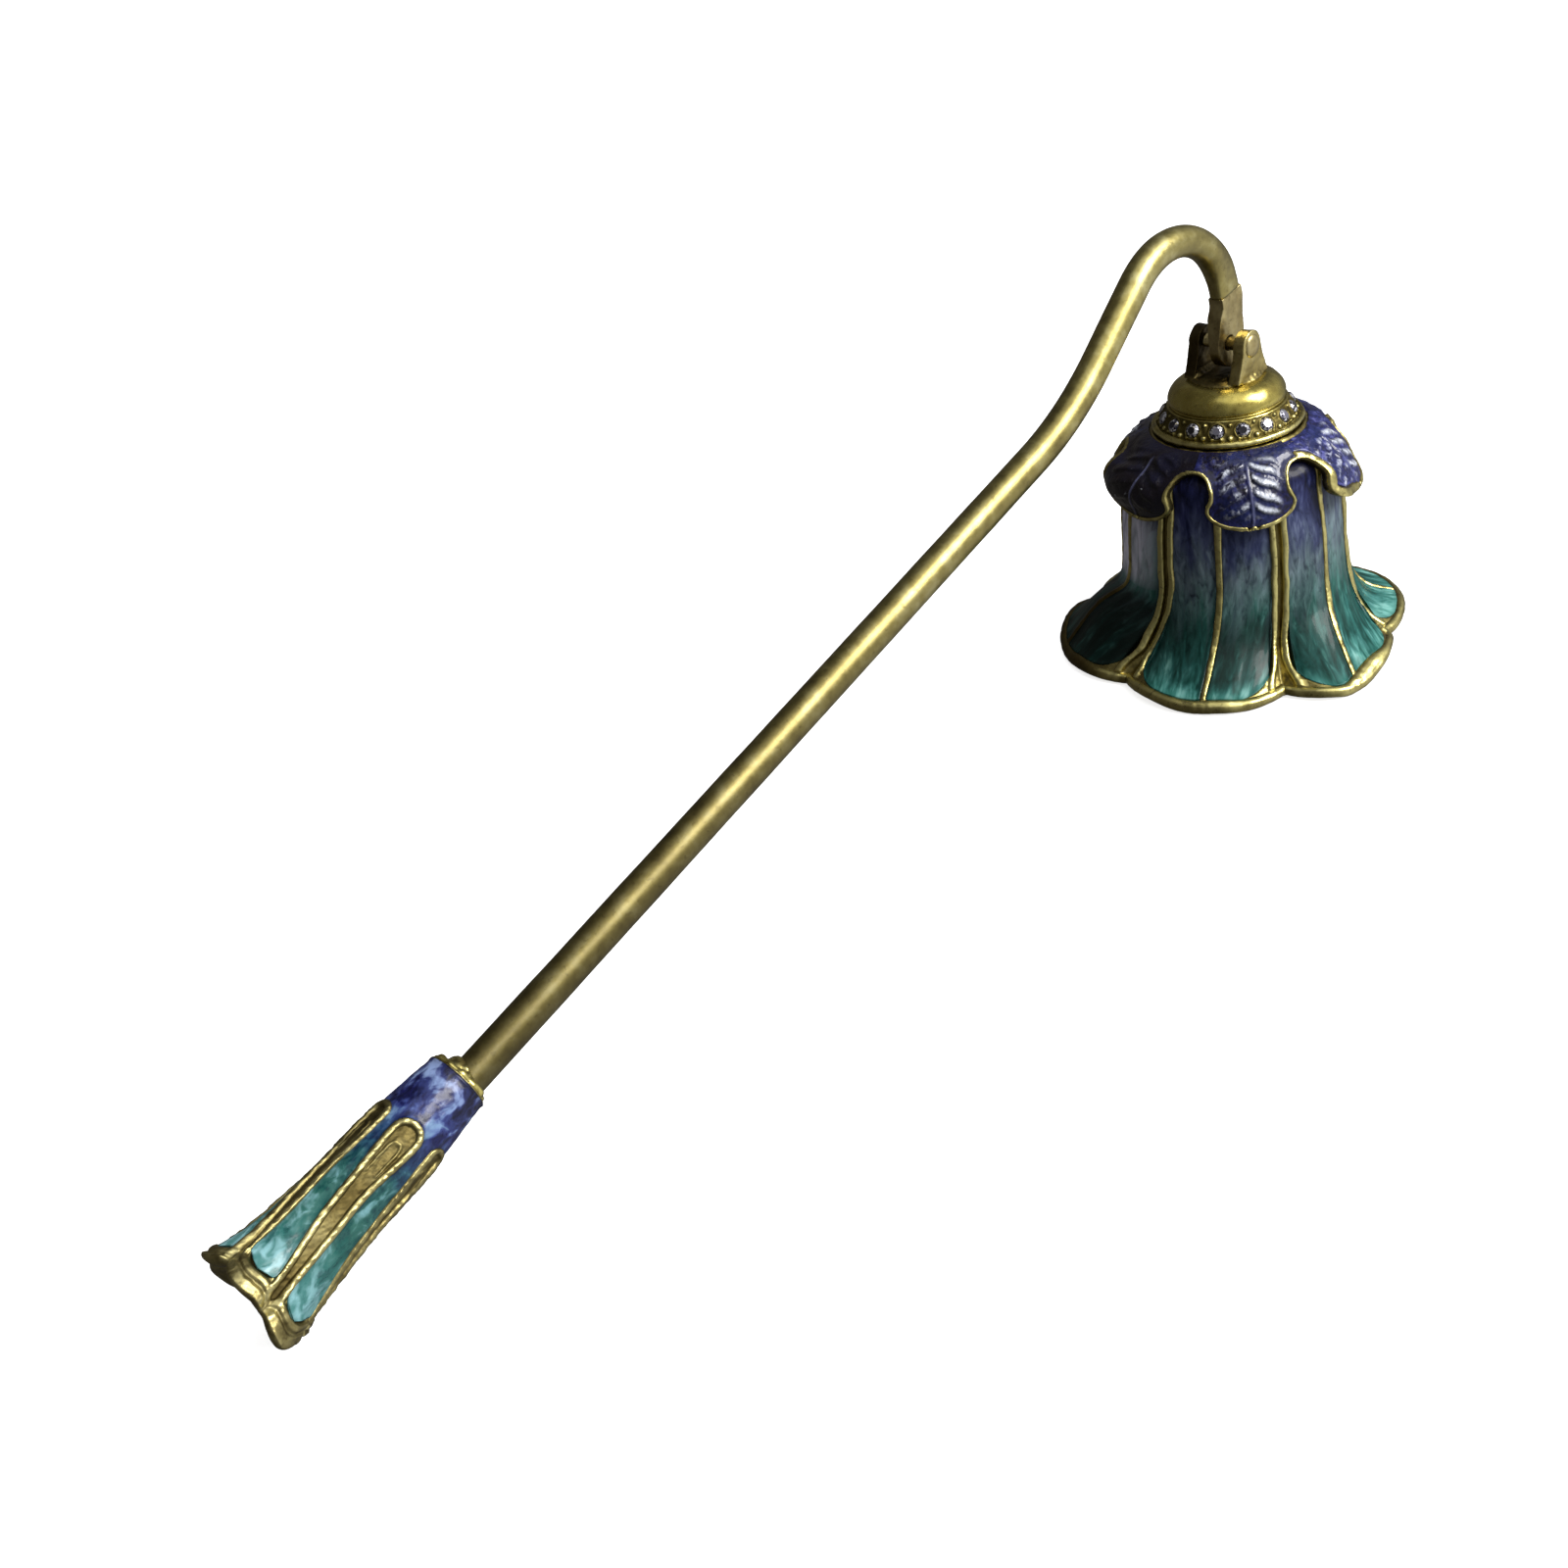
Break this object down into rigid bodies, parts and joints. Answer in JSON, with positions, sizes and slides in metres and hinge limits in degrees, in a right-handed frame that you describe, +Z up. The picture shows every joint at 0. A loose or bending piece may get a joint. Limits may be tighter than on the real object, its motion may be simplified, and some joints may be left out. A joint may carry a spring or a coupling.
{
  "type": "candle snuffer",
  "caption": "Candle snuffer with a flower-shaped bell that swings in a fork at the end of a goose-neck brass rod, with a flared enamelled handle.",
  "frame": {"origin": "on the table, under the middle of the snuffer's bounding box, as it stands on the bell's mouth and the handle's end", "axes": "+X from the handle to the bell, +Y across the rod and along the pivot pin, +Z up; the rod and its goose-neck lie in the XZ plane"},
  "size_m": [0.1908, 0.0494, 0.0608],
  "materials": {
    "antique_brass": "satin, darkened in the hollows",
    "polished_brass": "polished",
    "screw_steel": "plated",
    "enamel_teal": "glossy hand-brushed enamel, navy at the top to turquoise at the lip",
    "enamel_violet": "glossy hand-brushed enamel with silvery strokes",
    "enamel_blue": "glossy hand-brushed enamel",
    "rhinestone": "clear cut stone with a foiled back"
  },
  "bodies": {
    "rod_and_handle": {"rod_tube": "antique_brass", "pivot_tang": "antique_brass", "rod_ferrule": "antique_brass", "handle_body": "antique_brass", "handle_ring": "polished_brass", "handle_enamel": "enamel_blue"},
    "bell": {"pivot_pin": "antique_brass", "clevis_fork": "antique_brass", "dome_cap": "polished_brass", "stone_band": "antique_brass", "rhinestones": "rhinestone", "leaf_collar": "antique_brass", "leaf_enamel": "enamel_violet", "bell_shell": "antique_brass", "petal_enamel_1": "enamel_teal", "petal_enamel_2": "enamel_teal", "petal_enamel_3": "enamel_teal", "petal_enamel_4": "enamel_teal", "petal_enamel_5": "enamel_teal", "petal_enamel_6": "enamel_teal", "crown_washer": "screw_steel", "crown_screw": "screw_steel"}
  },
  "joints": [
    {"name": "bell_swing", "type": "hinge", "parent": "rod_and_handle", "child": "bell", "pos_m": [0.07158, 0, 0.0424], "axis": [0, 1, 0], "range_deg": [-101, 54.5]}
  ]
}
